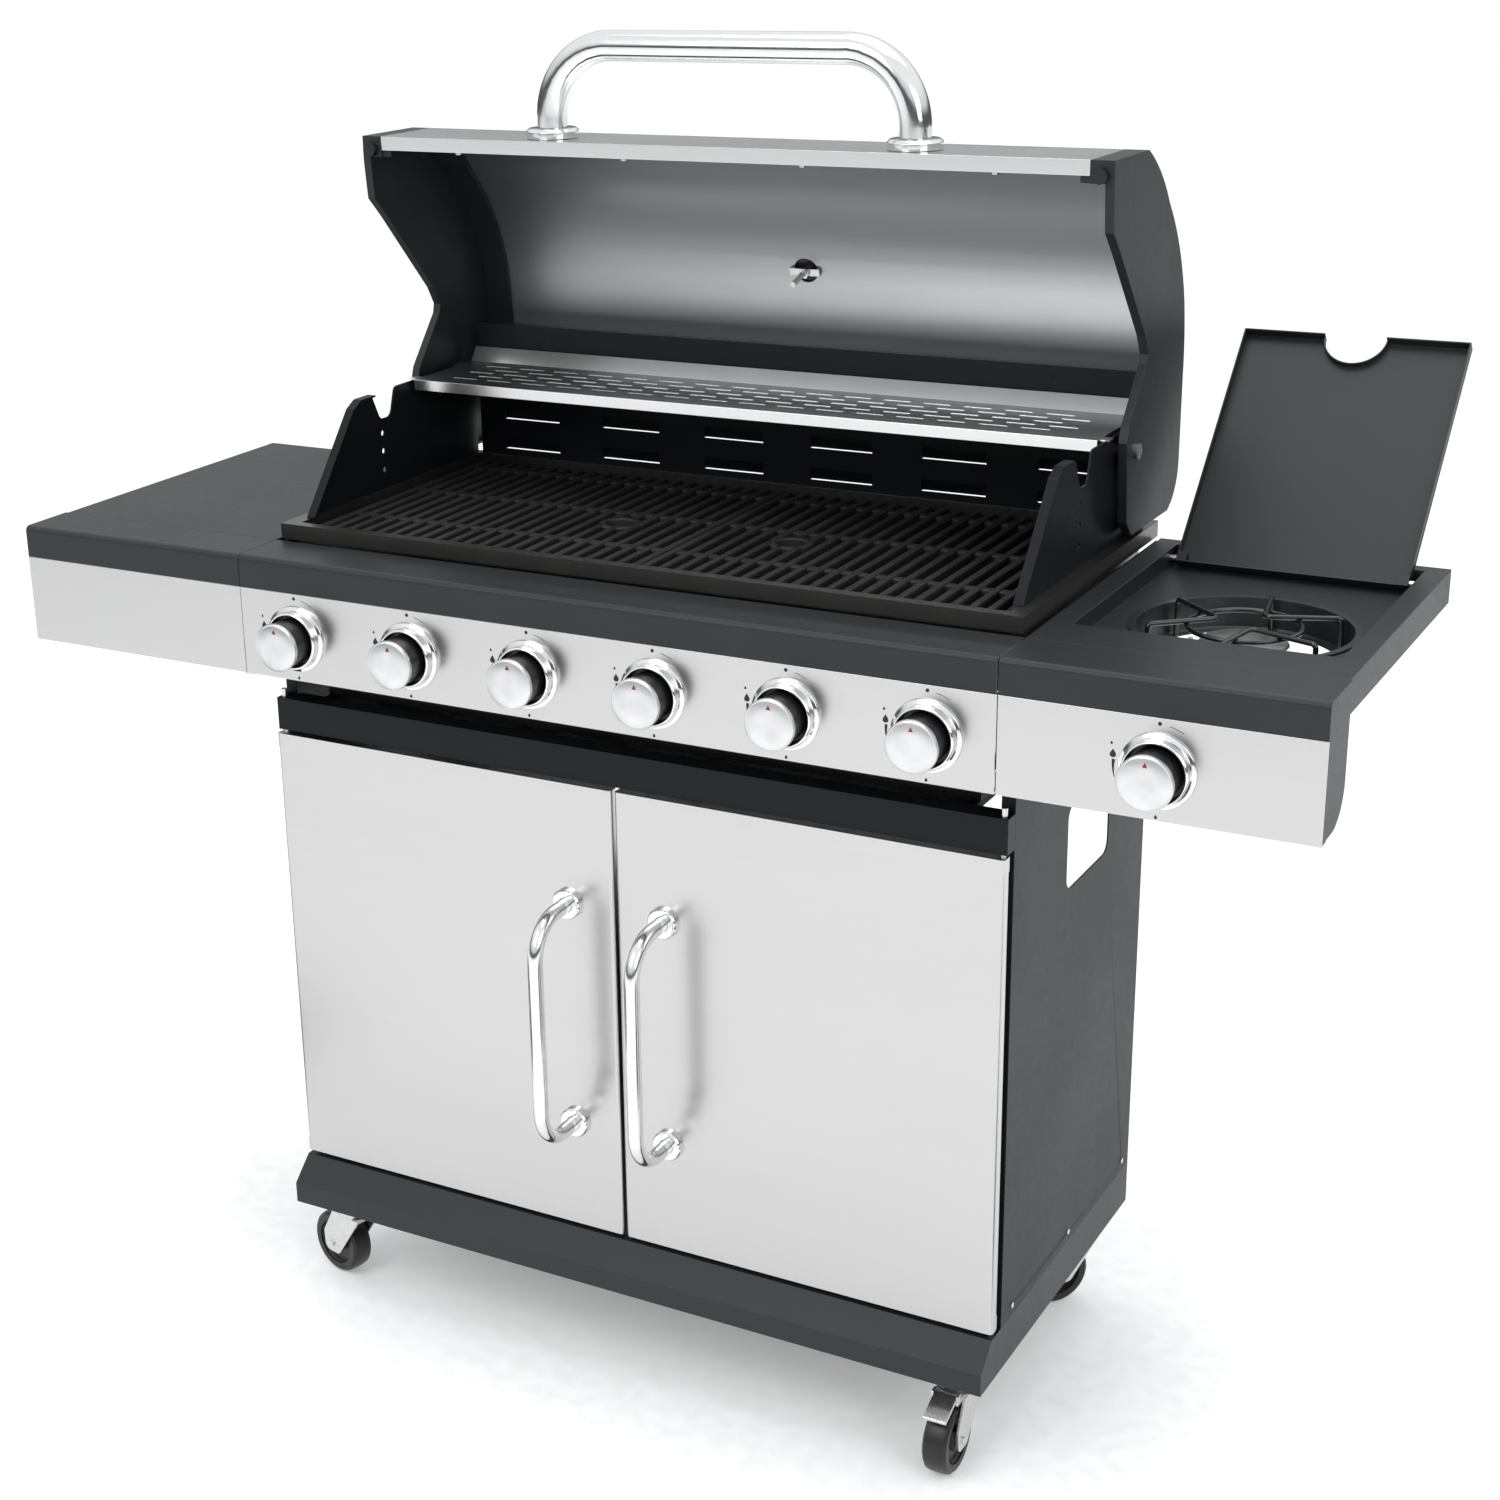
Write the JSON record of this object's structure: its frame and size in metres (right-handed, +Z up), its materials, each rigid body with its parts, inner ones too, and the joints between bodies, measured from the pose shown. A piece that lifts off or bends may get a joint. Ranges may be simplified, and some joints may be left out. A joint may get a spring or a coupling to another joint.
{
  "type": "gas barbecue grill",
  "caption": "Gas barbecue on castors with a hinged hood, cast iron grates, control knobs, a side burner and a two-door cabinet.",
  "frame": {"origin": "on the floor under the middle of the whole grill, with both lids open as at rest", "axes": "+X to the cook's right along the worktop, +Y away from the cook, +Z up; the knobs face -Y"},
  "size_m": [1.423, 0.644, 1.3848],
  "materials": {
    "stainless": "brushed stainless steel",
    "chrome": "polished chrome",
    "black_coat": "satin black powder coat",
    "fire_enamel": "dark brown-black heat-proof enamel",
    "gloss_enamel": "glossy black enamel",
    "cast_iron": "matt enamelled cast iron",
    "burner_steel": "plain stainless tube",
    "zinc": "bright zinc plate",
    "brass": "machined brass",
    "galvanised": "galvanised sheet",
    "knob_metal": "satin silver with a dark skirt",
    "tread": "black rubber tread on a dark hub",
    "pointer": "matt red"
  },
  "bodies": {
    "frame": {"left_shelf": "black_coat", "right_shelf": "black_coat", "front_trims": "black_coat", "fascia_left": "stainless", "fascia_centre": "stainless", "fascia_right": "stainless", "knob_bezels": "chrome", "gas_train": "zinc", "firebox": "fire_enamel", "burners": "burner_steel", "flame_tamers": "fire_enamel", "rear_wall": "black_coat", "end_plates": "black_coat", "side_panel_left": "black_coat", "side_panel_right": "black_coat", "base": "black_coat", "cabinet_rails": "black_coat", "frame_fasteners": "zinc", "burner_bowl": "gloss_enamel", "side_burner": "cast_iron"},
    "lid": {"lid_caps": "black_coat", "lid_skin": "stainless", "lid_handle": "chrome", "lid_fasteners": "zinc", "thermometer": "stainless"},
    "needle": {"thermometer_needle": "pointer"},
    "warming_rack": {"warming_rack": "stainless"},
    "grate_left": {"grate_left": "cast_iron"},
    "grate_right": {"grate_right": "cast_iron"},
    "grease_tray": {"grease_tray": "galvanised"},
    "door_left": {"door_left": "stainless", "door_handle_left": "chrome"},
    "door_right": {"door_right": "stainless", "door_handle_right": "chrome"},
    "side_lid": {"side_lid": "black_coat"},
    "pan_support": {"pan_support": "cast_iron"},
    "spool_1": {"valve_spool_1": "brass"},
    "knob_1": {"knob_1": "knob_metal"},
    "spool_2": {"valve_spool_2": "brass"},
    "knob_2": {"knob_2": "knob_metal"},
    "spool_3": {"valve_spool_3": "brass"},
    "knob_3": {"knob_3": "knob_metal"},
    "spool_4": {"valve_spool_4": "brass"},
    "knob_4": {"knob_4": "knob_metal"},
    "spool_5": {"valve_spool_5": "brass"},
    "knob_5": {"knob_5": "knob_metal"},
    "spool_6": {"valve_spool_6": "brass"},
    "knob_6": {"knob_6": "knob_metal"},
    "spool_7": {"valve_spool_7": "brass"},
    "knob_7": {"knob_7": "knob_metal"},
    "caster_front_left": {"caster_fork_front_left": "zinc"},
    "wheel_front_left": {"caster_wheel_front_left": "tread"},
    "brake_front_left": {"brake_lever_front_left": "zinc"},
    "caster_front_right": {"caster_fork_front_right": "zinc"},
    "wheel_front_right": {"caster_wheel_front_right": "tread"},
    "brake_front_right": {"brake_lever_front_right": "zinc"},
    "caster_rear_left": {"caster_fork_rear_left": "zinc"},
    "wheel_rear_left": {"caster_wheel_rear_left": "tread"},
    "caster_rear_right": {"caster_fork_rear_right": "zinc"},
    "wheel_rear_right": {"caster_wheel_rear_right": "tread"}
  },
  "joints": [
    {"name": "lid_hinge", "type": "hinge", "parent": "frame", "child": "lid", "pos_m": [0, 0.0752, 0.9869], "axis": [1, 0, 0], "range_deg": [0, 87.6]},
    {"name": "thermometer_dial", "type": "hinge", "parent": "lid", "child": "needle", "pos_m": [0, 0.20473, 1.12236], "axis": [0, 0.9526, 0.3042], "range_deg": [0, 250]},
    {"name": "side_lid_hinge", "type": "hinge", "parent": "frame", "child": "side_lid", "pos_m": [0.565, 0.1205, 0.871], "axis": [1, 0, 0], "range_deg": [0, 135]},
    {"name": "door_left_hinge", "type": "hinge", "parent": "frame", "child": "door_left", "pos_m": [-0.411, -0.2345, 0.418], "axis": [0, 0, -1], "range_deg": [0, 110]},
    {"name": "door_right_hinge", "type": "hinge", "parent": "frame", "child": "door_right", "pos_m": [0.411, -0.2345, 0.418], "axis": [0, 0, 1], "range_deg": [0, 110]},
    {"name": "valve_1_turn", "type": "hinge", "parent": "frame", "child": "spool_1", "pos_m": [-0.35075, -0.2845, 0.7965], "axis": [0, -1, 0], "range_deg": [0, 180]},
    {"name": "knob_1_push", "type": "slide", "parent": "spool_1", "child": "knob_1", "axis": [0, 1, 0], "range_m": [0, 0.004], "stiffness_N_per_m": 800, "springref_m": -0.003},
    {"name": "valve_2_turn", "type": "hinge", "parent": "frame", "child": "spool_2", "pos_m": [-0.20985, -0.2845, 0.7965], "axis": [0, -1, 0], "range_deg": [0, 180]},
    {"name": "knob_2_push", "type": "slide", "parent": "spool_2", "child": "knob_2", "axis": [0, 1, 0], "range_m": [0, 0.004], "stiffness_N_per_m": 800, "springref_m": -0.003},
    {"name": "valve_3_turn", "type": "hinge", "parent": "frame", "child": "spool_3", "pos_m": [-0.06895, -0.2845, 0.7965], "axis": [0, -1, 0], "range_deg": [0, 180]},
    {"name": "knob_3_push", "type": "slide", "parent": "spool_3", "child": "knob_3", "axis": [0, 1, 0], "range_m": [0, 0.004], "stiffness_N_per_m": 800, "springref_m": -0.003},
    {"name": "valve_4_turn", "type": "hinge", "parent": "frame", "child": "spool_4", "pos_m": [0.07195, -0.2845, 0.7965], "axis": [0, -1, 0], "range_deg": [0, 180]},
    {"name": "knob_4_push", "type": "slide", "parent": "spool_4", "child": "knob_4", "axis": [0, 1, 0], "range_m": [0, 0.004], "stiffness_N_per_m": 800, "springref_m": -0.003},
    {"name": "valve_5_turn", "type": "hinge", "parent": "frame", "child": "spool_5", "pos_m": [0.21285, -0.2845, 0.7965], "axis": [0, -1, 0], "range_deg": [0, 180]},
    {"name": "knob_5_push", "type": "slide", "parent": "spool_5", "child": "knob_5", "axis": [0, 1, 0], "range_m": [0, 0.004], "stiffness_N_per_m": 800, "springref_m": -0.003},
    {"name": "valve_6_turn", "type": "hinge", "parent": "frame", "child": "spool_6", "pos_m": [0.35375, -0.2845, 0.7965], "axis": [0, -1, 0], "range_deg": [0, 180]},
    {"name": "knob_6_push", "type": "slide", "parent": "spool_6", "child": "knob_6", "axis": [0, 1, 0], "range_m": [0, 0.004], "stiffness_N_per_m": 800, "springref_m": -0.003},
    {"name": "valve_7_turn", "type": "hinge", "parent": "frame", "child": "spool_7", "pos_m": [0.568, -0.2845, 0.7965], "axis": [0, -1, 0], "range_deg": [0, 180]},
    {"name": "knob_7_push", "type": "slide", "parent": "spool_7", "child": "knob_7", "axis": [0, 1, 0], "range_m": [0, 0.004], "stiffness_N_per_m": 800, "springref_m": -0.003},
    {"name": "warming_rack_lift", "type": "slide", "parent": "frame", "child": "warming_rack", "axis": [0, 0, -1], "range_m": [-0.12, 0]},
    {"name": "grate_left_lift", "type": "slide", "parent": "frame", "child": "grate_left", "axis": [0, 0, -1], "range_m": [-0.1, 0]},
    {"name": "grate_right_lift", "type": "slide", "parent": "frame", "child": "grate_right", "axis": [0, 0, -1], "range_m": [-0.1, 0]},
    {"name": "pan_support_lift", "type": "slide", "parent": "frame", "child": "pan_support", "axis": [0, 0, -1], "range_m": [-0.1, 0]},
    {"name": "grease_tray_slide", "type": "slide", "parent": "frame", "child": "grease_tray", "axis": [0, 1, 0], "range_m": [0, 0.33]},
    {"name": "caster_front_left_swivel", "type": "hinge", "parent": "frame", "child": "caster_front_left", "pos_m": [-0.373, -0.2225, 0.1], "axis": [0, 0, 1], "continuous": true},
    {"name": "wheel_front_left_roll", "type": "hinge", "parent": "caster_front_left", "child": "wheel_front_left", "pos_m": [-0.39908, -0.21551, 0.0375], "axis": [-0.2588, -0.9659, 0], "continuous": true},
    {"name": "brake_front_left_press", "type": "hinge", "parent": "caster_front_left", "child": "brake_front_left", "pos_m": [-0.40294, -0.21448, 0.0875], "axis": [-0.2588, -0.9659, 0], "range_deg": [0, 8]},
    {"name": "caster_front_right_swivel", "type": "hinge", "parent": "frame", "child": "caster_front_right", "pos_m": [0.373, -0.2225, 0.1], "axis": [0, 0, 1], "continuous": true},
    {"name": "wheel_front_right_roll", "type": "hinge", "parent": "caster_front_right", "child": "wheel_front_right", "pos_m": [0.373, -0.2495, 0.0375], "axis": [1, 0, 0], "continuous": true},
    {"name": "brake_front_right_press", "type": "hinge", "parent": "caster_front_right", "child": "brake_front_right", "pos_m": [0.373, -0.2535, 0.0875], "axis": [1, 0, 0], "range_deg": [0, 8]},
    {"name": "caster_rear_left_swivel", "type": "hinge", "parent": "frame", "child": "caster_rear_left", "pos_m": [-0.373, 0.1205, 0.1], "axis": [0, 0, 1], "continuous": true},
    {"name": "wheel_rear_left_roll", "type": "hinge", "parent": "caster_rear_left", "child": "wheel_rear_left", "pos_m": [-0.3865, 0.09712, 0.0375], "axis": [0.866, -0.5, 0], "continuous": true},
    {"name": "caster_rear_right_swivel", "type": "hinge", "parent": "frame", "child": "caster_rear_right", "pos_m": [0.373, 0.1205, 0.1], "axis": [0, 0, 1], "continuous": true},
    {"name": "wheel_rear_right_roll", "type": "hinge", "parent": "caster_rear_right", "child": "wheel_rear_right", "pos_m": [0.35564, 0.09982, 0.0375], "axis": [0.766, -0.6428, 0], "continuous": true}
  ]
}
